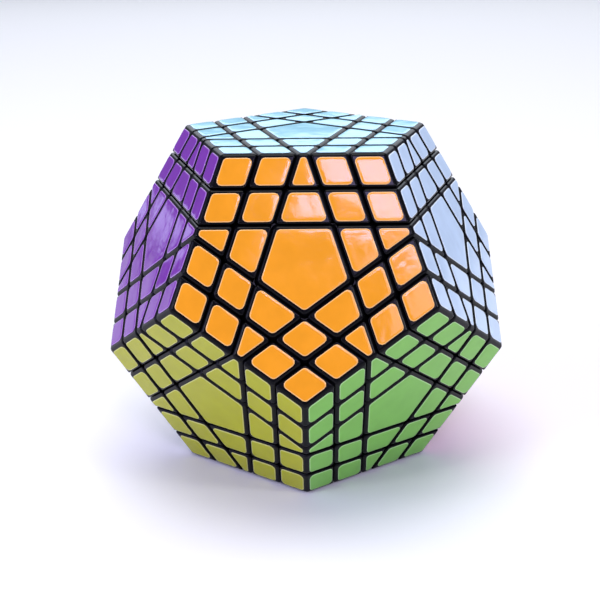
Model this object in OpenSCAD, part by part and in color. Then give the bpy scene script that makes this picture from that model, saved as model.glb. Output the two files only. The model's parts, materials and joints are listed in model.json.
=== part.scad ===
// Dodecahedron twisty puzzle with two turning layers behind each of its twelve faces.
// The origin is the centre of the core, where the twelve turning axes meet, and the top face looks along +Z.
// Every layer boundary is a plane across its own axis. Rings about that axis hang below it as tongues and run
// in grooves. Each piece is what is left when all twelve families of boundaries cut the puzzle.

/* [Body] */
// Length of one edge of the dodecahedron
edge_length = 41; // [36:0.5:52]
// Share of an edge taken by a corner piece, where the first cut meets it
corner_share = 0.23; // [0.21:0.005:0.24]
// Share of an edge from its end to the second cut
second_share = 0.466; // [0.455:0.005:0.475]
// Gap between neighbouring pieces
piece_gap = 0.3; // [0.2:0.05:0.4]

/* [Stickers] */
// Thickness of a vinyl sticker
sticker_thickness = 0.2; // [0.1:0.05:0.4]
// Margin of bare plastic beside a cut
sticker_margin = 0.95; // [0.5:0.05:1.1]
// Margin of bare plastic beside an edge of the dodecahedron
rim_margin = 0.95; // [0.6:0.05:1.2]
// Corner radius of a sticker
sticker_radius = 1.2; // [0.6:0.1:1.4]
// Corner radius of the small sticker in the middle of an edge
small_sticker_radius = 0.7; // [0.4:0.1:0.8]

/* [Mechanism] */
// Depth of a dovetail tongue below its boundary plane
tongue_depth = 1.7; // [1.2:0.1:1.8]
// Width of a tongue at the boundary plane
tongue_neck = 1.6; // [1.2:0.1:1.8]
// Width of a tongue at its foot
tongue_foot = 2.4; // [1.8:0.1:2.6]
// Width of a plain ridge
ridge_width = 1.6; // [1.2:0.1:1.8]
// Depth of a plain ridge below its boundary plane
ridge_depth = 1.5; // [1:0.1:1.7]
// Clearance round a tongue or ridge in its groove
tongue_clearance = 0.2; // [0.1:0.05:0.25]
// Outer radius of a centre cap's stalk
stalk_radius = 5; // [4.6:0.1:5.2]
// Wall of the hollow core
core_wall = 2.6; // [2:0.1:3.5]
// Thickness of the cover plate that closes a centre cap
cover_thickness = 2; // [1.4:0.1:2.4]
// Shank radius of an axis screw
screw_radius = 1.45; // [1.2:0.05:1.6]
// Wire radius of an axis spring
wire_radius = 0.35; // [0.25:0.05:0.45]

/* [Hidden] */
$fn = 64;

// ---- Directions: the angle between neighbouring face normals, and a face's share of the body ----
tilt = acos(1 / sqrt(5));
face_inradius = edge_length / (2 * tan(36));
body_inradius = edge_length * sqrt(10 + 4.4 * sqrt(5)) / 4;
// Distance of each cut line from the edge, measured on the face
first_line = corner_share * edge_length * sin(72);
second_line = second_share * edge_length * sin(72);
// Distance of each boundary plane from the centre
outer_cut = body_inradius - first_line * sin(tilt);
inner_cut = body_inradius - second_line * sin(tilt);
half_gap = piece_gap / 2;
reach = 4 * edge_length;

function ring_at(height, plane) = (plane - height * cos(tilt)) / sin(tilt);

// ---- Rings, as radii about the axis of the layer that carries the tongue ----
// Dovetail ring of the outer boundary: centre pieces on the hidden dodecahedron
inner_ring = (ring_at(outer_cut, inner_cut) / cos(36) + ring_at(outer_cut, outer_cut)) / 2;
// Plain ring of the outer boundary: edges and corners on the pieces of the layer below
outer_ring_lead = 0.1;
outer_ring = ring_at(outer_cut, outer_cut) / cos(36) + ridge_width / 2 + outer_ring_lead;
// Plain ring of the inner boundary: hidden edges and corners on the hidden centres
slice_ring_lead = 1.6;
slice_ring = ring_at(inner_cut, inner_cut) / cos(36) + ridge_width / 2 + slice_ring_lead;
// How far a tongue's root runs up into the piece that carries it
root_height = 1.2;
// Height of the relief notch where two plain grooves cross, and how much deeper it is than a groove
relief_height = 5.6;
relief_drop = 0.5;
// Gap left between the end of a ridge and the groove in that end of the piece
end_gap = 0.4;

// ---- Centre cap, screw and spring, as heights along an axis ----
cap_top = body_inradius - cover_thickness;
pocket_radius = 6.8;
pocket_floor = outer_cut + 3;
spring_well_radius = 3.8;
spring_well_floor = inner_cut + 4.1;
stalk_bore = screw_radius + 0.15;
stalk_clearance = 0.15;
plug_depth = 1.8;
plug_wall = 1.2;
plug_clearance = 0.1;
spring_top = outer_cut + 1.25;
spring_radius = 2.8;
spring_turns = 3;
washer_thickness = 0.5;
washer_radius = 3.4;
screw_head_radius = 3;
screw_head_height = 1.7;
screw_end = inner_cut - 10.4;
thread_clearance = 0.05;
drill_tip = 0.6;
cross_length = 3.2;
cross_width = 0.7;
washer_clearance = 0.1;
core_ball_radius = 10;
core_arm_radius = 4;
core_arm_root = 3;
touch = 0.05;

// ---- Faces: 0 is the top, 1 to 5 the upper ring from the front, 6 to 10 the lower ring, 11 the bottom ----
upper_azimuth = [for (k = [0 : 4]) 72 * k];
lower_azimuth = [for (k = [0 : 4]) 36 + 72 * k];

function turn_z(a) = [[cos(a), -sin(a), 0], [sin(a), cos(a), 0], [0, 0, 1]];
function turn_x(a) = [[1, 0, 0], [0, cos(a), -sin(a)], [0, sin(a), cos(a)]];
// The turn that carries the top face onto face f, and the body onto itself
function face_turn(f) =
    f == 0 ? turn_z(0) :
    f < 6 ? turn_z(upper_azimuth[f - 1]) * turn_x(tilt) * turn_z(180) :
    f < 11 ? turn_z(lower_azimuth[f - 6]) * turn_x(180 - tilt) :
    turn_x(180);
function slot_turn(f, k) = face_turn(f) * turn_z(72 * k);
front_normal = [0, -sin(tilt), cos(tilt)];
face_normals = [for (f = [0 : 11]) face_turn(f) * [0, 0, 1]];
function face_along(n) = [for (f = [0 : 11]) if (face_normals[f] * n > 0.99) f][0];
neighbours = [for (f = [0 : 11]) [for (k = [0 : 4]) face_along(slot_turn(f, k) * front_normal)]];
function neighbour(f, k) = neighbours[f][(k + 5) % 5];

// ---- Which pieces turn together ----
// Three faces that share no layer, so all six of their layers can turn at the same time
mover_faces = [1, 4, 11];
mover_names = ["front", "back", "base"];
movers = [0 : len(mover_faces) - 1];
BODY = [-1, 0];
function has(list, value) = len([for (v = list) if (v == value) v]) > 0;
// [mover, 1] for an outer layer, [mover, 2] for the slice behind it, BODY for the rest
function home(outer, second) =
    let (found = concat(
        [for (i = movers) if (has(outer, mover_faces[i])) [i, 1]],
        [for (i = movers) if (has(second, mover_faces[i])) [i, 2]]))
    len(found) > 0 ? found[0] : BODY;

function cap_home(f) = home([f], []);
function t_home(f, k) = home([f], [neighbour(f, k)]);
function x_home(f, k) = home([f], [neighbour(f, k), neighbour(f, k + 1)]);
function mid_home(f, k) = home([f, neighbour(f, k)], []);
function wing_home(f, k, side) = home([f, neighbour(f, k)], [neighbour(f, k + side)]);
function corner_home(f, k) = home([f, neighbour(f, k), neighbour(f, k + 1)], []);
function inner_centre_home(f) = home([], [f]);
function inner_edge_home(f, k) = home([], [f, neighbour(f, k)]);
function inner_corner_home(f, k) = home([], [f, neighbour(f, k), neighbour(f, k + 1)]);

function first_of_pair(f, k) = f < neighbour(f, k);
function first_of_three(f, k) = f < neighbour(f, k) && f < neighbour(f, k + 1);

all_faces = [0 : 11];
all_slots = [0 : 4];

// Puts its children, made for the top face's front side, at slot k of face f
module at_slot(f, k = 0) {
    m = slot_turn(f, k);
    multmatrix([for (row = m) [row[0], row[1], row[2], 0]])
        children();
}

// ---- Layers: 0 is the top axis, 1 the front one, 2 the next to the right and 5 to the left ----
module along(axis) {
    if (axis == 0)
        children();
    else
        rotate([0, 0, 72 * (axis - 1)]) rotate([tilt, 0, 0]) children();
}

module slab(axis, low, high) {
    along(axis)
        translate([-reach / 2, -reach / 2, low])
            cube([reach, reach, high - low]);
}

// The outer layer of an axis, the slice behind it, and all that lies below both
module outer_layer(axis) {
    slab(axis, outer_cut + half_gap, body_inradius);
}

module second_layer(axis) {
    slab(axis, inner_cut + half_gap, outer_cut - half_gap);
}

module below_layers(axis) {
    slab(axis, -reach / 2, inner_cut - half_gap);
}

// Dovetail ring about an axis, hanging from the outer boundary plane: it can turn but can't lift
module dovetail(axis, grow) {
    neck = tongue_neck / 2 + grow;
    foot = tongue_foot / 2 + grow;
    depth = tongue_depth + grow;
    top = grow > 0 ? half_gap + grow : root_height;
    along(axis)
        translate([0, 0, outer_cut])
            rotate_extrude()
                polygon([
                    [inner_ring - neck, top], [inner_ring - neck, 0], [inner_ring - foot, -depth],
                    [inner_ring + foot, -depth], [inner_ring + neck, 0], [inner_ring + neck, top]]);
}

// Plain ring about an axis: pieces with two or three of them can't leave sideways
module ridge(axis, plane, radius, grow) {
    along(axis)
        translate([0, 0, plane - ridge_depth - grow])
            difference() {
                cylinder(h = ridge_depth + 2 * grow + 1, r = radius + ridge_width / 2 + grow);
                translate([0, 0, -1])
                    cylinder(h = ridge_depth + 2 * grow + 3, r = radius - ridge_width / 2 - grow);
            }
}

module inner_tongue(axis) {
    dovetail(axis, 0);
}

module inner_groove(axis) {
    dovetail(axis, tongue_clearance);
}

module outer_tongue(axis) {
    ridge(axis, outer_cut, outer_ring, 0);
}

module outer_groove(axis) {
    ridge(axis, outer_cut, outer_ring, tongue_clearance);
}

module slice_tongue(axis) {
    ridge(axis, inner_cut, slice_ring, 0);
}

module slice_groove(axis) {
    ridge(axis, inner_cut, slice_ring, tongue_clearance);
}

// Relief notch where two plain grooves would cross at a piece's side edge
module groove_relief(first, second, plane, low, high) {
    deep = plane - ridge_depth - tongue_clearance - relief_drop;
    intersection() {
        slab(first, deep, plane + 1);
        slab(second, deep, plane + 1);
        slab(0, low, high);
    }
}

// Ends a ridge before it meets the groove in that end of the piece
module short_of_groove(axis, low, plane) {
    slab(axis, low, plane - ridge_depth - 2 * tongue_clearance - end_gap);
}

// ---- Visible pieces, each made once for the top face's front side ----
module corner_piece() {
    intersection() {
        outer_layer(0);
        outer_layer(1);
        outer_layer(2);
    }
    for (turn = [0 : 2]) {
        axes = [[0, 1, 2], [1, 2, 0], [2, 0, 1]][turn];
        intersection() {
            outer_layer(axes[1]);
            outer_layer(axes[2]);
            outer_tongue(axes[0]);
        }
    }
}

module wing_piece() {
    difference() {
        union() {
            intersection() {
                outer_layer(0);
                outer_layer(1);
                second_layer(2);
            }
            for (axis = [0, 1])
                intersection() {
                    outer_layer(1 - axis);
                    short_of_groove(2, inner_cut + half_gap, outer_cut);
                    outer_tongue(axis);
                }
        }
        outer_groove(2);
    }
}

module mid_edge_piece() {
    intersection() {
        outer_layer(0);
        outer_layer(1);
        below_layers(2);
        below_layers(5);
    }
    for (axis = [0, 1])
        intersection() {
            outer_layer(1 - axis);
            below_layers(2);
            below_layers(5);
            outer_tongue(axis);
        }
}

module x_centre_piece() {
    difference() {
        union() {
            intersection() {
                outer_layer(0);
                second_layer(1);
                second_layer(2);
            }
            intersection() {
                second_layer(1);
                second_layer(2);
                inner_tongue(0);
            }
        }
        outer_groove(1);
        outer_groove(2);
        groove_relief(1, 2, outer_cut, outer_cut - 2, outer_cut + relief_height);
    }
}

module t_centre_piece() {
    difference() {
        union() {
            intersection() {
                outer_layer(0);
                second_layer(1);
                below_layers(2);
                below_layers(5);
            }
            intersection() {
                second_layer(1);
                below_layers(2);
                below_layers(5);
                inner_tongue(0);
            }
        }
        outer_groove(1);
    }
}

// Five-sided block between the inner boundaries of the five neighbouring faces
module centre_block(low, high) {
    intersection() {
        slab(0, low, high);
        below_layers(1);
        below_layers(2);
        below_layers(3);
        below_layers(4);
        below_layers(5);
    }
}

module column(low, high, radius) {
    translate([0, 0, low]) cylinder(h = high - low, r = radius);
}

module centre_cap_piece() {
    difference() {
        union() {
            centre_block(outer_cut + half_gap, cap_top);
            column(inner_cut, outer_cut + 1, stalk_radius);
        }
        column(pocket_floor, cap_top + 1, pocket_radius);
        column(spring_well_floor, pocket_floor + 1, spring_well_radius);
        column(inner_cut - 1, spring_well_floor + 1, stalk_bore);
    }
}

module cover_piece() {
    plug_radius = pocket_radius - plug_clearance;
    centre_block(cap_top, body_inradius);
    difference() {
        column(cap_top - plug_depth, cap_top + 0.5, plug_radius);
        column(cap_top - plug_depth - 1, cap_top, plug_radius - plug_wall);
    }
}

// ---- Hidden pieces: a smaller dodecahedron that carries the visible ones ----
module inner_centre_piece() {
    difference() {
        centre_block(inner_cut + half_gap, outer_cut - half_gap);
        column(inner_cut, outer_cut, stalk_radius + stalk_clearance);
        for (axis = [1 : 5]) {
            slice_groove(axis);
            groove_relief(axis, axis % 5 + 1, inner_cut, inner_cut, inner_cut + relief_height);
        }
    }
}

module inner_edge_piece() {
    difference() {
        union() {
            intersection() {
                second_layer(0);
                second_layer(1);
                below_layers(2);
                below_layers(5);
            }
            for (axis = [0, 1])
                intersection() {
                    second_layer(1 - axis);
                    short_of_groove(2, -reach / 2, inner_cut);
                    short_of_groove(5, -reach / 2, inner_cut);
                    slice_tongue(axis);
                }
        }
        inner_groove(0);
        inner_groove(1);
        slice_groove(2);
        slice_groove(5);
    }
}

module inner_corner_piece() {
    difference() {
        union() {
            intersection() {
                second_layer(0);
                second_layer(1);
                second_layer(2);
            }
            for (turn = [0 : 2]) {
                axes = [[0, 1, 2], [1, 2, 0], [2, 0, 1]][turn];
                intersection() {
                    second_layer(axes[1]);
                    second_layer(axes[2]);
                    slice_tongue(axes[0]);
                }
            }
        }
        for (axis = [0 : 2]) {
            inner_groove(axis);
            outer_groove(axis);
        }
    }
}

// ---- Core: two moulded halves of a hollow dodecahedron with an arm along each axis ----
module dodecahedron(inradius) {
    intersection_for(f = [0 : 5])
        at_slot(f) slab(0, -inradius, inradius);
}

module core_half(up) {
    core_inradius = inner_cut - half_gap;
    difference() {
        union() {
            difference() {
                dodecahedron(core_inradius);
                dodecahedron(core_inradius - core_wall);
            }
            sphere(r = core_ball_radius);
            for (f = all_faces)
                if (up * face_normals[f][2] > 0)
                    at_slot(f)
                        column(core_ball_radius - core_arm_root, core_inradius - core_wall / 2,
                            core_arm_radius);
        }
        for (f = all_faces)
            if (up * face_normals[f][2] > 0)
                at_slot(f)
                    column(screw_end - drill_tip, core_inradius + 1, screw_radius + thread_clearance);
        if (up > 0)
            slab(0, -reach / 2, 0);
        else
            slab(0, 0, reach / 2);
    }
}

// ---- Hardware on each axis ----
module axis_screw() {
    head_floor = spring_top + washer_thickness + 2 * touch;
    difference() {
        union() {
            column(screw_end, head_floor + 0.5, screw_radius);
            column(head_floor, head_floor + screw_head_height, screw_head_radius);
        }
        translate([0, 0, head_floor + screw_head_height / 2])
            for (a = [0, 90])
                rotate([0, 0, a])
                    translate([-cross_length / 2, -cross_width / 2, 0])
                        cube([cross_length, cross_width, screw_head_height]);
    }
}

module axis_washer() {
    difference() {
        column(spring_top + touch, spring_top + touch + washer_thickness, washer_radius);
        column(spring_top - 1, spring_top + 2, screw_radius + washer_clearance);
    }
}

module axis_spring() {
    sides = 5;
    per_turn = 8;
    rings = floor(spring_turns * per_turn);
    low = spring_well_floor + touch + wire_radius;
    high = spring_top - wire_radius;
    points = [
        for (i = [0 : rings], s = [0 : sides - 1])
            let (a = 360 * i / per_turn, b = 360 * s / sides, r = spring_radius + wire_radius * cos(b))
            [r * cos(a), r * sin(a), low + (high - low) * i / rings + wire_radius * sin(b)]];
    walls = [
        for (i = [0 : rings - 1], s = [0 : sides - 1])
            let (n = (s + 1) % sides)
            [i * sides + s, (i + 1) * sides + s, (i + 1) * sides + n, i * sides + n]];
    start_face = [for (s = [0 : sides - 1]) s];
    end_face = [for (s = [sides - 1 : -1 : 0]) rings * sides + s];
    polyhedron(points = points, faces = concat(walls, [start_face], [end_face]));
}

// ---- Stickers: an outline is a list of [angle of the outward normal, distance from the face's centre] ----
front = -90;
outside_edge = face_inradius - rim_margin;
outside_first = face_inradius - first_line - sticker_margin;
outside_second = face_inradius - second_line - sticker_margin;
inside_first = -(face_inradius - first_line) - sticker_margin;
inside_second = -(face_inradius - second_line) - sticker_margin;

cap_outline = [for (k = all_slots) [front + 72 * k, outside_second]];
t_outline = [
    [front, outside_first], [front + 72, outside_second],
    [front + 180, inside_second], [front + 288, outside_second]];
x_outline = [
    [front, outside_first], [front + 72, outside_first],
    [front + 180, inside_second], [front + 252, inside_second]];
mid_outline = [
    [front, outside_edge], [front + 72, outside_second],
    [front + 180, inside_first], [front + 288, outside_second]];
right_wing_outline = [
    [front, outside_edge], [front + 72, outside_first],
    [front + 180, inside_first], [front + 252, inside_second]];
left_wing_outline = [
    [front, outside_edge], [front + 108, inside_second],
    [front + 180, inside_first], [front + 288, outside_first]];
corner_outline = [
    [front, outside_edge], [front + 72, outside_edge],
    [front + 180, inside_first], [front + 252, inside_first]];

function meet(p, q, back) =
    let (d = p[1] - back, e = q[1] - back, s = sin(q[0] - p[0]))
    [(d * sin(q[0]) - e * sin(p[0])) / s, (e * cos(p[0]) - d * cos(q[0])) / s];

// Convex outline with each corner rounded by an arc of radius r
function rounded(lines, r, steps = 2) = [
    for (i = [0 : len(lines) - 1])
        let (p = lines[i], q = lines[(i + 1) % len(lines)], c = meet(p, q, r),
             sweep = q[0] > p[0] ? q[0] - p[0] : q[0] - p[0] + 360)
        for (t = [0 : steps])
            c + r * [cos(p[0] + sweep * t / steps), sin(p[0] + sweep * t / steps)]];

module sticker(lines, r = sticker_radius) {
    translate([0, 0, body_inradius])
        linear_extrude(height = sticker_thickness)
            polygon(rounded(lines, r));
}

// Every sticker of face f that rides with the layer called place
module face_stickers(f, place) {
    if (cap_home(f) == place)
        at_slot(f) sticker(cap_outline);
    for (k = all_slots) {
        if (t_home(f, k) == place)
            at_slot(f, k) sticker(t_outline);
        if (x_home(f, k) == place)
            at_slot(f, k) sticker(x_outline);
        if (mid_home(f, k) == place)
            at_slot(f, k) sticker(mid_outline, small_sticker_radius);
        if (wing_home(f, k, 1) == place)
            at_slot(f, k) sticker(right_wing_outline);
        if (wing_home(f, k, -1) == place)
            at_slot(f, k) sticker(left_wing_outline);
        if (corner_home(f, k) == place)
            at_slot(f, k) sticker(corner_outline);
    }
}

sticker_names = [
    "sky_blue", "orange", "pale_blue", "cream", "yellow", "purple",
    "green", "pink", "red", "white", "olive", "dark_blue"];
sticker_colours = [
    "skyblue", "darkorange", "lightsteelblue", "moccasin", "gold", "mediumpurple",
    "mediumseagreen", "hotpink", "crimson", "white", "olivedrab", "royalblue"];

// ---- All pieces of one kind that ride with the layer called place ----
module caps(place) {
    for (f = all_faces)
        if (cap_home(f) == place)
            at_slot(f) centre_cap_piece();
}

module covers(place) {
    for (f = all_faces)
        if (cap_home(f) == place)
            at_slot(f) cover_piece();
}

module t_centres(place) {
    for (f = all_faces, k = all_slots)
        if (t_home(f, k) == place)
            at_slot(f, k) t_centre_piece();
}

module x_centres(place) {
    for (f = all_faces, k = all_slots)
        if (x_home(f, k) == place)
            at_slot(f, k) x_centre_piece();
}

module mid_edges(place) {
    for (f = all_faces, k = all_slots)
        if (first_of_pair(f, k) && mid_home(f, k) == place)
            at_slot(f, k) mid_edge_piece();
}

module wings(place) {
    for (f = all_faces, k = all_slots)
        if (wing_home(f, k, 1) == place)
            at_slot(f, k) wing_piece();
}

module corners(place) {
    for (f = all_faces, k = all_slots)
        if (first_of_three(f, k) && corner_home(f, k) == place)
            at_slot(f, k) corner_piece();
}

module inner_centres(place) {
    for (f = all_faces)
        if (inner_centre_home(f) == place)
            at_slot(f) inner_centre_piece();
}

module inner_edges(place) {
    for (f = all_faces, k = all_slots)
        if (first_of_pair(f, k) && inner_edge_home(f, k) == place)
            at_slot(f, k) inner_edge_piece();
}

module inner_corners(place) {
    for (f = all_faces, k = all_slots)
        if (first_of_three(f, k) && inner_corner_home(f, k) == place)
            at_slot(f, k) inner_corner_piece();
}

module on_each_axis() {
    for (f = all_faces)
        at_slot(f) children();
}

fixed_faces = [for (f = all_faces) if (!has(mover_faces, f)) f];
layer_nodes = [
    "face_cap", "face_cover", "face_t_centres", "face_x_centres", "face_edges", "face_corners",
    "face_stickers", "face_side_stickers",
    "slice_centres", "slice_wings", "slice_inner_pieces", "slice_stickers"];
NODES = concat(
    ["core_upper_half", "core_lower_half", "axis_screws", "axis_washers", "axis_springs",
     "inner_centres", "inner_edges", "inner_corners",
     "centre_caps", "centre_covers", "t_centres", "x_centres", "mid_edges", "wings", "corners"],
    [for (i = movers, part = layer_nodes) str(mover_names[i], "_", part)],
    [for (f = fixed_faces) str(sticker_names[f], "_stickers")]);
node = "all";
function shown(name) = node == "all" || node == name;

if (shown("core_upper_half")) color("dimgray") core_half(1);
if (shown("core_lower_half")) color("gray") core_half(-1);
if (shown("axis_screws")) color("silver") on_each_axis() axis_screw();
if (shown("axis_washers")) color("gainsboro") on_each_axis() axis_washer();
if (shown("axis_springs")) color("lightgray") on_each_axis() axis_spring();
if (shown("inner_centres")) color("dimgray") inner_centres(BODY);
if (shown("inner_edges")) color("dimgray") inner_edges(BODY);
if (shown("inner_corners")) color("dimgray") inner_corners(BODY);
if (shown("centre_caps")) color("black") caps(BODY);
if (shown("centre_covers")) color("black") covers(BODY);
if (shown("t_centres")) color("black") t_centres(BODY);
if (shown("x_centres")) color("black") x_centres(BODY);
if (shown("mid_edges")) color("black") mid_edges(BODY);
if (shown("wings")) color("black") wings(BODY);
if (shown("corners")) color("black") corners(BODY);

for (i = movers) {
    prefix = str(mover_names[i], "_");
    outer = [i, 1];
    slice = [i, 2];
    if (shown(str(prefix, "face_cap"))) color("black") caps(outer);
    if (shown(str(prefix, "face_cover"))) color("black") covers(outer);
    if (shown(str(prefix, "face_t_centres"))) color("black") t_centres(outer);
    if (shown(str(prefix, "face_x_centres"))) color("black") x_centres(outer);
    if (shown(str(prefix, "face_edges"))) color("black") {
        mid_edges(outer);
        wings(outer);
    }
    if (shown(str(prefix, "face_corners"))) color("black") corners(outer);
    if (shown(str(prefix, "face_stickers")))
        color(sticker_colours[mover_faces[i]]) face_stickers(mover_faces[i], outer);
    if (shown(str(prefix, "face_side_stickers")))
        for (f = neighbours[mover_faces[i]]) color(sticker_colours[f]) face_stickers(f, outer);
    if (shown(str(prefix, "slice_centres"))) color("black") {
        t_centres(slice);
        x_centres(slice);
    }
    if (shown(str(prefix, "slice_wings"))) color("black") wings(slice);
    if (shown(str(prefix, "slice_inner_pieces"))) color("dimgray") {
        inner_centres(slice);
        inner_edges(slice);
        inner_corners(slice);
    }
    if (shown(str(prefix, "slice_stickers")))
        for (f = neighbours[mover_faces[i]]) color(sticker_colours[f]) face_stickers(f, slice);
}

for (f = fixed_faces)
    if (shown(str(sticker_names[f], "_stickers")))
        color(sticker_colours[f]) face_stickers(f, BODY);
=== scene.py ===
import itertools
import json
import math

import bpy
import numpy as np
from mathutils import Matrix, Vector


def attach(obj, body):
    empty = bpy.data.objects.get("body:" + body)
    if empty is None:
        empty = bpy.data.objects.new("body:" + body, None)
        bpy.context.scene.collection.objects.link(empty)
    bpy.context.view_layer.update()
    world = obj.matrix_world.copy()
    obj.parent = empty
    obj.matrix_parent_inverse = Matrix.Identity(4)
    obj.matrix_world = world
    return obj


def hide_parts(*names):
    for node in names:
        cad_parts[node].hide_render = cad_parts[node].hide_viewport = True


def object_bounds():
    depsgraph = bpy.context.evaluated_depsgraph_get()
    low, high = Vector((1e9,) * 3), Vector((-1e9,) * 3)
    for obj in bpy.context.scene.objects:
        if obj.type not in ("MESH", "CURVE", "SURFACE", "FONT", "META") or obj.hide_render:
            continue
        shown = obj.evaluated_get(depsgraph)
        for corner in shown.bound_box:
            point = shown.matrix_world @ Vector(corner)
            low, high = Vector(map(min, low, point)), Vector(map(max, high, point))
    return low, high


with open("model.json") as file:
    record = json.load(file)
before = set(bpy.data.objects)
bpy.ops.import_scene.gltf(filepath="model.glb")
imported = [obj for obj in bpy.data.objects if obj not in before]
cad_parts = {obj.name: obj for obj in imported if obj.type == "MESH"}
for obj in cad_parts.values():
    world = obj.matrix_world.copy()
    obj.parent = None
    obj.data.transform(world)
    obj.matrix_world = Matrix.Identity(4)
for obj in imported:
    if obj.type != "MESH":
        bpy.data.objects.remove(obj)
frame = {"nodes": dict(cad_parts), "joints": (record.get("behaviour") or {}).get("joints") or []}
cad_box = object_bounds()

# ---- Camera ---------------------------------------------------------------------------------
# A portrait lens on a full-frame sensor, a third of a metre in front of the puzzle and a hand's
# breadth above its middle. It looks down on the front face and a little over the top one.
CAMERA_PLACE = (0.0026, -0.3255, 0.1111)
CAMERA_PITCH, CAMERA_YAW, CAMERA_ROLL = -19.29, 0.75, -0.72
lens = bpy.data.cameras.new("camera")
lens.sensor_width = 36.0
lens.lens = 72.8
lens.clip_start = 0.01
camera = bpy.data.objects.new("camera", lens)
camera.matrix_world = (
    Matrix.Translation(CAMERA_PLACE)
    @ Matrix.Rotation(math.radians(CAMERA_YAW), 4, "Z")
    @ Matrix.Rotation(math.radians(90 + CAMERA_PITCH), 4, "X")
    @ Matrix.Rotation(math.radians(CAMERA_ROLL), 4, "Z")
)
bpy.context.scene.collection.objects.link(camera)
bpy.context.scene.camera = camera

# ---- Core and hidden pieces --------------------------------------------------------------------
# The hollow core is two moulded halves of black ABS. Round it sits a smaller dodecahedron of inner
# centres, edges and corners, and the centre caps reach down through it. All come straight out of
# spark-eroded moulds, so they are an even satin black with a fine grain.


def linear(hex_colour):
    """An sRGB hex colour as linear red, green, blue and alpha: each channel v is v / 12.92 up to
    0.04045, and ((v + 0.055) / 1.055) ** 2.4 above it."""
    v = np.array([int(hex_colour[i : i + 2], 16) for i in (1, 3, 5)]) / 255
    rgb = np.where(v <= 0.04045, v / 12.92, ((v + 0.055) / 1.055) ** 2.4)
    return (*rgb.tolist(), 1.0)


def add_node(tree, kind, inputs, **settings):
    """Adds a node of one kind, with its settings, and fills its inputs with values or links."""
    node = tree.nodes.new(kind)
    for name, value in settings.items():
        setattr(node, name, value)
    for name, value in inputs.items():
        if isinstance(value, bpy.types.NodeSocket):
            tree.links.new(value, node.inputs[name])
        else:
            node.inputs[name].default_value = value
    return node


def start_material(name, **shader_values):
    """A material with one Principled shader, whose even values are set on its own sockets."""
    material = bpy.data.materials.new(name)
    material.use_nodes = True
    tree = material.node_tree
    tree.nodes.clear()
    shader = add_node(tree, "ShaderNodeBsdfPrincipled", shader_values)
    add_node(tree, "ShaderNodeOutputMaterial", {"Surface": shader.outputs["BSDF"]})
    place = add_node(tree, "ShaderNodeTexCoord", {}).outputs["Object"]
    return material, tree, shader, place


def per_metre(millimetres):
    """The scale of a noise whose features are so many millimetres across."""
    return 1000 / millimetres


def shade(tree, noise, low, high, first, second):
    """Carries a noise from one colour or grey to another between two of its levels."""
    ramp = add_node(tree, "ShaderNodeValToRGB", {"Fac": noise})
    ends = ramp.color_ramp.elements
    ends[0].position, ends[0].color = low, first
    ends[1].position, ends[1].color = high, second
    return ramp.outputs["Color"]


def grey(level):
    return (level, level, level, 1.0)


# ABS, spark-eroded mould: a grain of about 0.3 mm that breaks up the reflections
core_abs, tree, shader, place = start_material("abs_satin_black", IOR=1.53)
grain = add_node(tree, "ShaderNodeTexNoise", {"Vector": place, "Scale": per_metre(0.3), "Detail": 3.0})
cloud = add_node(tree, "ShaderNodeTexNoise", {"Vector": place, "Scale": per_metre(7), "Detail": 2.0})
tree.links.new(
    shade(tree, cloud.outputs["Fac"], 0.35, 0.65, linear("#17171a"), linear("#202024")),
    shader.inputs["Base Color"],
)
tree.links.new(
    shade(tree, cloud.outputs["Fac"], 0.3, 0.7, grey(0.42), grey(0.55)), shader.inputs["Roughness"]
)
bump = add_node(
    tree, "ShaderNodeBump", {"Height": grain.outputs["Fac"], "Strength": 0.35, "Distance": 0.00004}
)
tree.links.new(bump.outputs["Normal"], shader.inputs["Normal"])

MOVERS = ("front", "back", "base")
hidden_nodes = ["core_upper_half", "core_lower_half", "inner_centres", "inner_edges", "inner_corners"]
hidden_nodes += ["centre_caps"] + [f"{m}_face_cap" for m in MOVERS]
hidden_nodes += [f"{m}_slice_inner_pieces" for m in MOVERS]


def finish_node(name, material):
    """Gives a CAD node its finish, in every material slot it has."""
    slots = frame["nodes"][name].material_slots
    for slot in slots:
        slot.material = material


for name in hidden_nodes:
    finish_node(name, core_abs)

# ---- Screws and washers ------------------------------------------------------------------------
# Twelve cross-head screws run down the stalks of the centre caps into the core's arms, each over a
# washer. They are zinc-plated steel: a slightly blue, soft shine with faint crystal clouds.
# Zinc, bright plated: crystal clouds of about 0.8 mm change its tone and its roughness together
zinc, tree, shader, place = start_material("zinc_plated_steel", Metallic=1.0)
cloud = add_node(tree, "ShaderNodeTexNoise", {"Vector": place, "Scale": per_metre(0.8), "Detail": 4.0})
tree.links.new(
    shade(tree, cloud.outputs["Fac"], 0.35, 0.65, linear("#a9b0b6"), linear("#d4d8da")),
    shader.inputs["Base Color"],
)
tree.links.new(
    shade(tree, cloud.outputs["Fac"], 0.3, 0.7, grey(0.24), grey(0.4)), shader.inputs["Roughness"]
)
for name in ("axis_screws", "axis_washers"):
    finish_node(name, zinc)

# ---- Twelve axes ---------------------------------------------------------------------------------
# Every face has a turning axis through the middle of the core. The sizes below are the body's own,
# in millimetres: one edge, the shares of it where the two cuts meet it, and the gap at each cut.
EDGE = 41.0
FIRST_SHARE, SECOND_SHARE = 0.23, 0.466
HALF_GAP = 0.15
TILT = math.acos(1 / math.sqrt(5))
FACE_INRADIUS = EDGE / (2 * math.tan(math.radians(36)))
BODY_INRADIUS = EDGE * math.sqrt(10 + 4.4 * math.sqrt(5)) / 4
FIRST_LINE = FIRST_SHARE * EDGE * math.sin(math.radians(72))
SECOND_LINE = SECOND_SHARE * EDGE * math.sin(math.radians(72))
FIRST_CUT = BODY_INRADIUS - FIRST_LINE * math.sin(TILT)
SECOND_CUT = BODY_INRADIUS - SECOND_LINE * math.sin(TILT)


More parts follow.
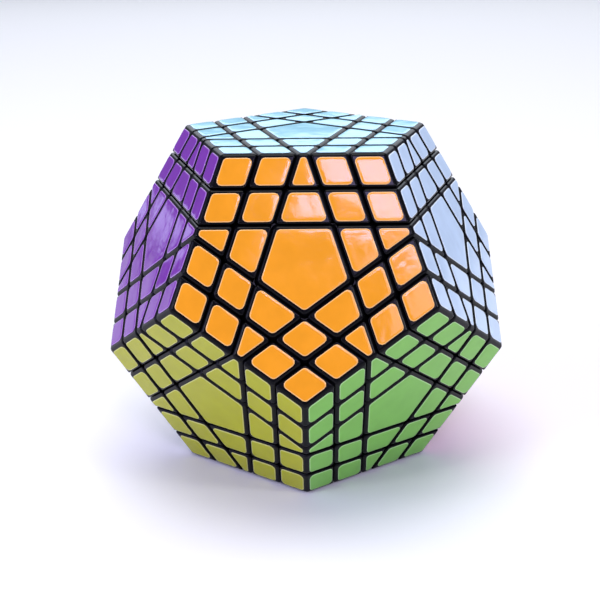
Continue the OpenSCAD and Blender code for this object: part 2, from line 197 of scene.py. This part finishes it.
def turn_z(angle):
    c, s = math.cos(angle), math.sin(angle)
    return np.array([[c, -s, 0], [s, c, 0], [0, 0, 1]])


def turn_x(angle):
    c, s = math.cos(angle), math.sin(angle)
    return np.array([[1, 0, 0], [0, c, -s], [0, s, c]])


FIFTH = math.tau / 5
face_turns = [np.eye(3)]
face_turns += [turn_z(FIFTH * k) @ turn_x(TILT) @ turn_z(math.pi) for k in range(5)]
face_turns += [turn_z(FIFTH * (k + 0.5)) @ turn_x(math.pi - TILT) for k in range(5)]
face_turns += [turn_x(math.pi)]
# slot_turns[f, k] carries the top face's front side to side k of face f
slot_turns = np.array([[turn @ turn_z(FIFTH * k) for k in range(5)] for turn in face_turns])
face_normals = slot_turns[:, 0, :, 2]

# ---- Springs -------------------------------------------------------------------------------------
# A small coil of spring steel wire under each screw head pulls its centre cap towards the core. It
# is wound cold from drawn wire, with a closed turn at each end.
WIRE, COIL = 0.35, 2.8
SPRING_LOW, SPRING_HIGH = SECOND_CUT + 4.15, FIRST_CUT + 1.25
SPRING_TURNS, END_TURN = 5, 0.9
WIRE_SIDES, STEPS_PER_TURN = 10, 28


def new_piece(name, points, corners, starts, material):
    """A mesh from arrays: points in millimetres, the corner list of all faces joined end to end,
    and where each face starts in it."""
    mesh = bpy.data.meshes.new(name)
    mesh.vertices.add(len(points))
    mesh.vertices.foreach_set("co", (points / 1000).astype(np.float32).ravel())
    mesh.loops.add(len(corners))
    mesh.loops.foreach_set("vertex_index", corners.astype(np.int32))
    mesh.polygons.add(len(starts))
    mesh.polygons.foreach_set("loop_start", starts.astype(np.int32))
    mesh.update(calc_edges=True)
    mesh.polygons.foreach_set("use_smooth", np.ones(len(starts), bool))
    mesh.materials.append(material)
    piece = bpy.data.objects.new(name, mesh)
    bpy.context.scene.collection.objects.link(piece)
    return piece


def closed_tubes(rings, sides, copies):
    """Faces of tubes whose points are numbered copy by copy, ring by ring and side by side: a
    four-cornered face between neighbours on two rings, and an end face on each end ring."""
    ring = np.arange(rings - 1)[:, None] * sides
    side = np.arange(sides)[None, :]
    after = (side + 1) % sides
    walls = np.stack([ring + side, ring + after, ring + sides + after, ring + sides + side], -1)
    walls = walls.reshape(-1)
    ends = np.concatenate([np.arange(sides)[::-1], (rings - 1) * sides + np.arange(sides)])
    one = np.concatenate([walls, ends])
    sizes = np.concatenate([np.full(len(walls) // 4, 4), np.full(2, sides)])
    corners = (one[None, :] + np.arange(copies)[:, None] * rings * sides).ravel()
    sizes = np.tile(sizes, copies)
    return corners, np.concatenate([[0], np.cumsum(sizes)[:-1]])


def coil_spring():
    """Points of one spring on the top axis. Along the wire, u goes from 0 to 1: the wire's middle
    is at angle 2 pi turns u on the coil's radius. Its height gains one wire radius over each end
    turn, which so lies nearly flat, and the rest evenly between them. Round the wire, v goes from
    0 to 2 pi."""
    u = np.linspace(0, 1, SPRING_TURNS * STEPS_PER_TURN)[:, None]
    v = np.linspace(0, math.tau, WIRE_SIDES, endpoint=False)[None, :]
    flat = END_TURN / SPRING_TURNS
    rise = np.clip((u - flat) / (1 - 2 * flat), 0, 1)
    angle = math.tau * SPRING_TURNS * u
    lift = WIRE * (np.clip(u / flat, 0, 1) + np.clip((u - 1 + flat) / flat, 0, 1))
    height = SPRING_LOW + WIRE + lift + (SPRING_HIGH - SPRING_LOW - 4 * WIRE) * rise
    radius = COIL + WIRE * np.cos(v)
    points = [radius * np.cos(angle), radius * np.sin(angle), height + WIRE * np.sin(v)]
    return np.stack(np.broadcast_arrays(*points), -1).reshape(-1, 3)


# Spring steel, cold drawn: darker than zinc and sharper in its shine, with faint streaks
wire_steel, tree, shader, place = start_material("drawn_spring_steel", Metallic=1.0)
streak = add_node(tree, "ShaderNodeTexNoise", {"Vector": place, "Scale": per_metre(0.4), "Detail": 2.0})
tree.links.new(
    shade(tree, streak.outputs["Fac"], 0.35, 0.65, linear("#8b8f94"), linear("#b4b7ba")),
    shader.inputs["Base Color"],
)
tree.links.new(
    shade(tree, streak.outputs["Fac"], 0.3, 0.7, grey(0.18), grey(0.32)), shader.inputs["Roughness"]
)
spring_points = np.einsum("fij,vj->fvi", slot_turns[:, 0], coil_spring()).reshape(-1, 3)
spring_faces = closed_tubes(SPRING_TURNS * STEPS_PER_TURN, WIRE_SIDES, len(slot_turns))
springs = new_piece("axis_coil_springs", spring_points, *spring_faces, wire_steel)
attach(springs, "core")
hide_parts("axis_springs")

# ---- Cubies --------------------------------------------------------------------------------------
# The visible pieces are moulded in black ABS and polished: corners, wings, middle edges, kite and
# trapezoid centres, and the cover of each centre cap. Each is a cell between cuts, with soft edges.
# The widest soft edge, in millimetres, and the share of it that each kind of edge gets
SOFT_EDGE = 1.2
INNER_SHARE, CUT_SHARE, OUTSIDE_SHARE, CORNER_SHARE = 0.3, 0.6, 0.7, 1.0
COVER_THICKNESS = 2.0
# Three of the five faces round the top one
FRONT, RIGHT, LEFT = 1, 2, 5


def layer(axis, low, high):
    """Two bounding planes, as rows of normal and distance: low <= n.x <= high."""
    n = face_normals[axis]
    return [[*n, high], [*-n, -low]]


def outer(axis):
    return layer(axis, FIRST_CUT + HALF_GAP, BODY_INRADIUS)


def second(axis):
    return layer(axis, SECOND_CUT + HALF_GAP, FIRST_CUT - HALF_GAP)


def below(axis):
    return layer(axis, -BODY_INRADIUS, SECOND_CUT - HALF_GAP)


def cell(planes):
    """The solid that all planes n.x <= d leave. Its corners are the points where three planes meet
    and that no plane cuts off, and a face is the corners on its plane, sorted by angle."""
    planes = np.array(planes)
    n, d = planes[:, :3], planes[:, 3]
    triples = np.array(list(itertools.combinations(range(len(planes)), 3)))
    triples = triples[np.abs(np.linalg.det(n[triples])) > 1e-6]
    points = np.linalg.solve(n[triples], d[triples][..., None])[..., 0]
    points = points[(points @ n.T <= d + 1e-6).all(axis=1)]
    points = np.unique(points.round(6), axis=0)
    faces = []
    for normal, distance in zip(n, d):
        on_plane = np.flatnonzero(np.abs(points @ normal - distance) < 1e-4)
        if len(on_plane) < 3:
            continue
        spread = points[on_plane] - points[on_plane].mean(axis=0)
        across = spread[0] / np.linalg.norm(spread[0])
        angle = np.arctan2(spread @ np.cross(normal, across), spread @ across)
        faces.append(on_plane[np.argsort(angle)])
    return points, faces


kinds = {
    "corners": cell(outer(0) + outer(FRONT) + outer(RIGHT)),
    "wings": cell(outer(0) + outer(FRONT) + second(RIGHT)),
    "mid_edges": cell(outer(0) + outer(FRONT) + below(RIGHT) + below(LEFT)),
    "x_centres": cell(outer(0) + second(FRONT) + second(RIGHT)),
    "t_centres": cell(outer(0) + second(FRONT) + below(RIGHT) + below(LEFT)),
    "covers": cell(
        layer(0, BODY_INRADIUS - COVER_THICKNESS, BODY_INRADIUS)
        + [row for axis in range(1, 6) for row in below(axis)]
    ),
}


def body_at(places):
    """The body that carries what is at each place: an outer layer or a slice where a turning axis
    reaches past its cut, and the core elsewhere."""
    bodies = np.full(len(places), "core", dtype=object)
    for joint in frame["joints"]:
        reach = places @ np.array(joint["axis"])
        if joint["child"].endswith("_layer"):
            bodies[reach > FIRST_CUT] = joint["child"]
        else:
            bodies[(reach > SECOND_CUT) & (reach < FIRST_CUT)] = joint["child"]
    return bodies


def cubies_on(body, names):
    """Joins every cubie of the named kinds that rides on a body. A kind's cell is turned to all 60
    sides of faces, and turns that bring it to the same place are counted once. Returns points,
    corners and starts for new_piece."""
    points, corners, starts = [], [], []
    made, filled = 0, 0
    for name in names:
        cell_points, cell_faces = kinds[name]
        turns = slot_turns.reshape(-1, 3, 3)
        middles = turns @ cell_points.mean(axis=0)
        _, first = np.unique(middles.round(2), axis=0, return_index=True)
        first = first[body_at(middles[first]) == body]
        placed = np.einsum("tij,vj->tvi", turns[first], cell_points)
        one = np.concatenate(cell_faces)
        sizes = np.array([len(face) for face in cell_faces])
        offsets = made + np.arange(len(first)) * len(cell_points)
        corners.append((one[None, :] + offsets[:, None]).ravel())
        begin = np.concatenate([[0], np.cumsum(sizes)[:-1]])
        starts.append((filled + begin[None, :] + (np.arange(len(first)) * len(one))[:, None]).ravel())
        points.append(placed.reshape(-1, 3))
        made += len(first) * len(cell_points)
        filled += len(first) * len(one)
    return np.concatenate(points), np.concatenate(corners), np.concatenate(starts)


def soften_edges(piece):
    """Weighs every edge for the bevel by where it lies: inside, beside a cut on one outer face,
    on an edge of the dodecahedron between two, or running inwards from an outer face's corner."""
    mesh = piece.data
    co = np.empty(len(mesh.vertices) * 3)
    mesh.vertices.foreach_get("co", co)
    ends = np.empty(len(mesh.edges) * 2, np.int32)
    mesh.edges.foreach_get("vertices", ends)
    outside = co.reshape(-1, 3) * 1000 @ face_normals.T > BODY_INRADIUS - 0.01
    first, last = outside[ends[::2]], outside[ends[1::2]]
    shared = (first & last).sum(axis=1)
    weights = np.choose(shared, [INNER_SHARE, CUT_SHARE, OUTSIDE_SHARE])
    inwards = first.any(axis=1) != last.any(axis=1)
    weights[inwards] = CORNER_SHARE
    attribute = mesh.attributes.new("bevel_weight_edge", "FLOAT", "EDGE")
    attribute.data.foreach_set("value", weights.astype(np.float32))
    bevel = piece.modifiers.new("soft_edges", "BEVEL")
    bevel.limit_method = "WEIGHT"
    bevel.width = SOFT_EDGE / 1000
    bevel.segments = 3
    bevel.harden_normals = True


# ABS, polished mould: near black with a sharp shine, faint haze from handling and a barely
# uneven skin that bends the reflections a little. Its IOR is below that of bare ABS, because the
# pale table all round would otherwise turn the narrow black bands grey.
polished_abs, tree, shader, place = start_material("abs_polished_black", IOR=1.2)
haze = add_node(tree, "ShaderNodeTexNoise", {"Vector": place, "Scale": per_metre(5), "Detail": 4.0})
skin = add_node(tree, "ShaderNodeTexNoise", {"Vector": place, "Scale": per_metre(1.4), "Detail": 1.0})
tree.links.new(
    shade(tree, haze.outputs["Fac"], 0.35, 0.65, linear("#050508"), linear("#0a0a0e")),
    shader.inputs["Base Color"],
)
tree.links.new(
    shade(tree, haze.outputs["Fac"], 0.3, 0.7, grey(0.12), grey(0.2)), shader.inputs["Roughness"]
)
bump = add_node(
    tree, "ShaderNodeBump", {"Height": skin.outputs["Fac"], "Strength": 0.25, "Distance": 0.00004}
)
tree.links.new(bump.outputs["Normal"], shader.inputs["Normal"])


def add_cubies(name, body, names, *nodes):
    """One moulded group on its body, in place of the CAD nodes of the same pieces."""
    group = new_piece(name, *cubies_on(body, names), polished_abs)
    soften_edges(group)
    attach(group, body)
    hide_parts(*nodes)


for kind in ("corners", "wings", "mid_edges", "x_centres", "t_centres"):
    add_cubies(f"body_{kind}", "core", [kind], kind)
add_cubies("body_covers", "core", ["covers"], "centre_covers")
for m in MOVERS:
    layer_body, slice_body = f"{m}_layer", f"{m}_slice"
    add_cubies(f"{m}_layer_cover", layer_body, ["covers"], f"{m}_face_cover")
    add_cubies(f"{m}_layer_t_centres", layer_body, ["t_centres"], f"{m}_face_t_centres")
    add_cubies(f"{m}_layer_x_centres", layer_body, ["x_centres"], f"{m}_face_x_centres")
    add_cubies(f"{m}_layer_edges", layer_body, ["mid_edges", "wings"], f"{m}_face_edges")
    add_cubies(f"{m}_layer_corners", layer_body, ["corners"], f"{m}_face_corners")
    add_cubies(f"{m}_slice_centres_t_x", slice_body, ["t_centres", "x_centres"], f"{m}_slice_centres")
    add_cubies(f"{m}_slice_edge_wings", slice_body, ["wings"], f"{m}_slice_wings")

# ---- Stickers ------------------------------------------------------------------------------------
# Every outer facet carries a die-cut sticker of glossy self-adhesive vinyl, one colour to a face.
# Its edge is rounded over by the die and carries a painted pale highlight, and its skin is never quite
# flat.
# Bare plastic left beside a cut and along the face's rim, and the sticker's corner radii
CUT_MARGIN, RIM_MARGIN = 0.95, 0.95
CORNER_ROUND, SMALL_ROUND = 1.2, 0.7
ARC_STEPS = 4
EDGE_SIDE = FACE_INRADIUS - RIM_MARGIN
FIRST_SIDE = FACE_INRADIUS - FIRST_LINE - CUT_MARGIN
SECOND_SIDE = FACE_INRADIUS - SECOND_LINE - CUT_MARGIN
FIRST_BACK = -(FACE_INRADIUS - FIRST_LINE) - CUT_MARGIN
SECOND_BACK = -(FACE_INRADIUS - SECOND_LINE) - CUT_MARGIN

# Each outline is a list of sides: the angle of the side's normal from the front, and its distance
outlines = {
    "cap": ([(72 * k, SECOND_SIDE) for k in range(5)], CORNER_ROUND),
    "trapezoid": (
        [(0, FIRST_SIDE), (72, SECOND_SIDE), (180, SECOND_BACK), (288, SECOND_SIDE)], CORNER_ROUND),
    "kite": (
        [(0, FIRST_SIDE), (72, FIRST_SIDE), (180, SECOND_BACK), (252, SECOND_BACK)], CORNER_ROUND),
    "mid_edge": (
        [(0, EDGE_SIDE), (72, SECOND_SIDE), (180, FIRST_BACK), (288, SECOND_SIDE)], SMALL_ROUND),
    "right_wing": (
        [(0, EDGE_SIDE), (72, FIRST_SIDE), (180, FIRST_BACK), (252, SECOND_BACK)], CORNER_ROUND),
    "left_wing": (
        [(0, EDGE_SIDE), (108, SECOND_BACK), (180, FIRST_BACK), (288, FIRST_SIDE)], CORNER_ROUND),
    "corner": (
        [(0, EDGE_SIDE), (72, EDGE_SIDE), (180, FIRST_BACK), (252, FIRST_BACK)], CORNER_ROUND),
}
# The die rolls the edge over, and the skin still leans outwards for about a millimetre inside it.
# Each row is the inset in millimetres, the share of the corner radius that is added to it, the
# height above the facet and the share of painted pale highlight on the edge
EDGE_PROFILE = np.array([
    (0.0, 0.0, 0.0, 1.0), (0.0, 0.0, 0.09, 1.0), (0.05, 0.0, 0.155, 1.0),
    (0.31, 0.0, 0.188, 0.0), (0.0, 0.6, 0.196, 0.0), (0.0, 0.95, 0.2, 0.0),
])


def sticker_shape(sides, radius):
    """Points of one sticker on the top face, as rings of an outline. Each corner of the outline is
    an arc whose middle is where its two sides meet when they are moved in by the radius, and a ring
    is the same arcs at its own height, with the radius less its inset."""
    angle = np.radians(np.array([side[0] for side in sides]) - 90.0)
    moved = np.array([side[1] for side in sides]) - radius
    after, moved_after = np.roll(angle, -1), np.roll(moved, -1)
    sweep = (after - angle) % math.tau
    sine = np.sin(sweep)
    middle_x = (moved * np.sin(after) - moved_after * np.sin(angle)) / sine
    middle_y = (moved_after * np.cos(angle) - moved * np.cos(after)) / sine
    along = angle[:, None] + sweep[:, None] * np.linspace(0, 1, ARC_STEPS)[None, :]
    reach = radius - (EDGE_PROFILE[:, 0] + EDGE_PROFILE[:, 1] * radius)[:, None, None]
    x = middle_x[:, None] + reach * np.cos(along)
    y = middle_y[:, None] + reach * np.sin(along)
    z = BODY_INRADIUS + EDGE_PROFILE[:, 2, None, None]
    points = np.stack(np.broadcast_arrays(x, y, z), -1)
    return points.reshape(len(EDGE_PROFILE), -1, 3)


def sticker_faces(rings, sides, first_point):
    """Corners and sizes of one sticker's faces: bands between rings, the underside and the top."""
    ring = np.arange(rings - 1)[:, None] * sides
    side = np.arange(sides)[None, :]
    after = (side + 1) % sides
    bands = np.stack([ring + side, ring + after, ring + sides + after, ring + sides + side], -1)
    under = np.arange(sides)[::-1]
    top = (rings - 1) * sides + np.arange(sides)
    corners = np.concatenate([bands.ravel(), under, top]) + first_point
    sizes = np.concatenate([np.full(bands.size // 4, 4), [sides, sides]])
    return corners, sizes


STICKER_COLOURS = [
    ("sky_blue", "#a2e4f2"), ("orange", "#ee9a1e"), ("pale_blue", "#cae2f8"), ("cream", "#efe0a8"),
    ("yellow", "#f2d92e"), ("purple", "#751a9c"), ("green", "#7cbe50"), ("pink", "#ec86ae"),
    ("red", "#c9242c"), ("white", "#f0f0ec"), ("olive", "#a8aa0a"), ("dark_blue", "#1f479c"),
]
OWN_FACE = {"front": 1, "back": 4, "base": 11}
# The most that a sticker leans out of true with its loosely held piece, as a tangent. A lean of
# under a degree is too small to model, but it decides which stickers catch a light.
LEAN = 0.015


def vinyl(name, hex_colour):
    """Glossy cast vinyl: even colour with a faint cloud, a painted pale highlight on the edge that the
    die rounds over, slow waves of about 6 mm in its skin, a fine peel of 0.7 mm, and a light haze from
    handling. The painted highlight's tone of a channel c is 1 - 0.8 (1 - c) ** 1.6."""
    material, tree, shader, place = start_material(f"vinyl_gloss_{name}", IOR=1.4)
    own = add_node(tree, "ShaderNodeAttribute", {}, attribute_name="own_place")
    moved = add_node(
        tree, "ShaderNodeVectorMath", {0: place, 1: own.outputs["Vector"]}, operation="ADD"
    )
    wave = add_node(
        tree, "ShaderNodeTexNoise",
        {"Vector": moved.outputs["Vector"], "Scale": per_metre(6), "Detail": 2.0, "Roughness": 0.5},
    )
    peel = add_node(
        tree, "ShaderNodeTexNoise",
        {"Vector": moved.outputs["Vector"], "Scale": per_metre(0.7), "Detail": 1.0},
    )
    colour = linear(hex_colour)
    channels = np.array(colour[:3])
    deep = (*(channels * 0.93).tolist(), 1.0)
    # A paler tone of the colour, painted on the sticker's edge as a highlight
    pale = (*(1 - 0.8 * (1 - channels) ** 1.6).tolist(), 1.0)
    body = shade(tree, wave.outputs["Fac"], 0.35, 0.65, deep, colour)
    # The share of painted pale highlight at each point, mixed over the body colour
    rim = add_node(tree, "ShaderNodeAttribute", {}, attribute_name="painted_edge_highlight")
    # A colour mix has its two colours on inputs 6 and 7, and its result on output 2
    tint = add_node(
        tree, "ShaderNodeMix", {"Factor": rim.outputs["Fac"], 6: body, 7: pale}, data_type="RGBA"
    )
    tree.links.new(tint.outputs[2], shader.inputs["Base Color"])
    tree.links.new(
        shade(tree, wave.outputs["Fac"], 0.3, 0.7, grey(0.06), grey(0.12)), shader.inputs["Roughness"]
    )
    lean = add_node(
        tree, "ShaderNodeVectorTransform", {"Vector": own.outputs["Vector"]},
        vector_type="VECTOR", convert_from="OBJECT", convert_to="WORLD",
    )
    facing = add_node(tree, "ShaderNodeNewGeometry", {})
    leaned = add_node(
        tree, "ShaderNodeVectorMath",
        {0: lean.outputs["Vector"], 1: (LEAN, LEAN, LEAN), 2: facing.outputs["Normal"]},
        operation="MULTIPLY_ADD",
    )
    slow = add_node(
        tree, "ShaderNodeBump",
        {"Height": wave.outputs["Fac"], "Strength": 0.5, "Distance": 0.0002,
         "Normal": leaned.outputs["Vector"]},
    )
    fine = add_node(
        tree, "ShaderNodeBump",
        {"Height": peel.outputs["Fac"], "Strength": 0.15, "Distance": 0.00002,
         "Normal": slow.outputs["Normal"]},
    )
    tree.links.new(fine.outputs["Normal"], shader.inputs["Normal"])
    return material


# Gives each sticker its own lean and its own place in the pattern of waves
chance = np.random.default_rng(12)


def add_stickers(name, face, body, material, node):
    """All stickers of one face that ride on one body, as one piece."""
    points, corners, sizes, painted_highlight_share, places = [], [], [], [], []
    made = 0
    for kind, (sides, radius) in outlines.items():
        shape = sticker_shape(sides, radius)
        rings, around = shape.shape[:2]
        slots = 1 if kind == "cap" else 5
        turns = slot_turns[face, :slots]
        middles = turns @ shape[0].mean(axis=0)
        for turn in turns[body_at(middles) == body]:
            points.append(shape.reshape(-1, 3) @ turn.T)
            face_corners, face_sizes = sticker_faces(rings, around, made)
            corners.append(face_corners)
            sizes.append(face_sizes)
            # Full painted pale highlight on the sticker's edge rings, none on its top
            painted_highlight_share.append(np.repeat(EDGE_PROFILE[:, 3], around))
            places.append(np.tile(chance.uniform(-1, 1, 3), (rings * around, 1)))
            made += rings * around
    sizes = np.concatenate(sizes)
    starts = np.concatenate([[0], np.cumsum(sizes)[:-1]])
    piece = new_piece(name, np.concatenate(points), np.concatenate(corners), starts, material)
    # Where the painted pale highlight lies, for the sticker's material
    edge_highlight_layer = piece.data.attributes.new("painted_edge_highlight", "FLOAT", "POINT")
    edge_highlight_layer.data.foreach_set("value", np.concatenate(painted_highlight_share).astype(np.float32))
    own = piece.data.attributes.new("own_place", "FLOAT_VECTOR", "POINT")
    own.data.foreach_set("vector", np.concatenate(places).astype(np.float32).ravel())
    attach(piece, body)
    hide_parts(node)


# Two faces that share an edge have normals whose product is 1 / sqrt(5), about 0.447
NEIGHBOURS = (0.4, 0.5)
for face, (colour_name, hex_colour) in enumerate(STICKER_COLOURS):
    material = vinyl(colour_name, hex_colour)
    if face not in OWN_FACE.values():
        add_stickers(
            f"body_{colour_name}", face, "core", material, f"{colour_name}_stickers")
    for m, own in OWN_FACE.items():
        if face == own:
            add_stickers(f"{m}_layer_{colour_name}", face, f"{m}_layer", material,
                         f"{m}_face_stickers")
        elif NEIGHBOURS[0] < face_normals[face] @ face_normals[own] < NEIGHBOURS[1]:
            add_stickers(f"{m}_layer_{colour_name}", face, f"{m}_layer", material,
                         f"{m}_face_side_stickers")
            add_stickers(f"{m}_slice_{colour_name}", face, f"{m}_slice", material,
                         f"{m}_slice_stickers")

# ---- Floor and light -----------------------------------------------------------------------------
# A round table covered in plain pale paper, in a dim bluish room. Soft boxes of light stand round
# it: two lilac ones over the camera that the front face mirrors, one to each side for the soft
# edges, a window on the left, a broad one on top, and two behind for the top and the left faces.
FLOOR_RADIUS, FLOOR_SIDES = 1.5, 96
around = np.linspace(0, math.tau, FLOOR_SIDES, endpoint=False)
floor_points = np.stack(
    [
        FLOOR_RADIUS * np.cos(around),
        FLOOR_RADIUS * np.sin(around),
        np.full(FLOOR_SIDES, cad_box[0][2]),
    ],
    -1,
)
floor_mesh = bpy.data.meshes.new("floor")
floor_mesh.from_pydata(floor_points.tolist(), [], [tuple(range(FLOOR_SIDES))])
floor = bpy.data.objects.new("floor", floor_mesh)
bpy.context.scene.collection.objects.link(floor)
# Uncoated paper: white and even, with no shine
paper, tree, shader, place = start_material("floor_paper", Roughness=0.8)
shader.inputs["Base Color"].default_value = linear("#f4f4f2")
floor_mesh.materials.append(paper)


def softbox(name, place, width, height, radiance, colour):
    """A rectangular softbox at a place, facing the middle of the puzzle. It gives off its radiance
    evenly, so its power is the radiance times pi times its area."""
    light = bpy.data.lights.new(name, "AREA")
    light.shape = "RECTANGLE"
    light.size, light.size_y = width, height
    light.energy = radiance * math.pi * width * height
    light.color = linear(colour)[:3]
    lamp = bpy.data.objects.new(name, light)
    away = np.array(place) / np.linalg.norm(place)
    lamp.location = place
    lamp.rotation_euler = (math.acos(away[2]), 0, math.atan2(away[0], -away[1]))
    bpy.context.scene.collection.objects.link(lamp)


softbox("key", (0.17, -0.94, 0.81), 0.36, 0.15, 21.5, "#cebfff")
softbox("key_low", (0.25, -1.0, 0.64), 0.3, 0.2, 5.0, "#ead8ff")
softbox("fill_left", (-1.1, -1.0, 0.9), 0.24, 0.24, 23.5, "#f4f6ff")
softbox("fill_right", (1.1, -0.8, 0.9), 0.22, 0.22, 28.0, "#f4f6ff")
softbox("window_left", (-1.25, -0.4, 0.35), 0.8, 1.0, 4.0, "#c4c4ff")
softbox("back_left", (-0.97, 1.27, -0.008), 0.13, 0.05, 1.9, "#d2d6ff")
softbox("top", (0.0, 0.1, 1.5), 1.2, 1.2, 3.8, "#ffffff")
softbox("back", (0.0, 1.4, 0.66), 1.6, 0.7, 1.5, "#eef6ff")
room = bpy.data.worlds.new("dim_room")
room.use_nodes = True
walls = room.node_tree.nodes["Background"]
walls.inputs["Color"].default_value = linear("#e4e8ff")
walls.inputs["Strength"].default_value = 0.3
bpy.context.scene.world = room
bpy.context.scene.view_settings.view_transform = "Standard"
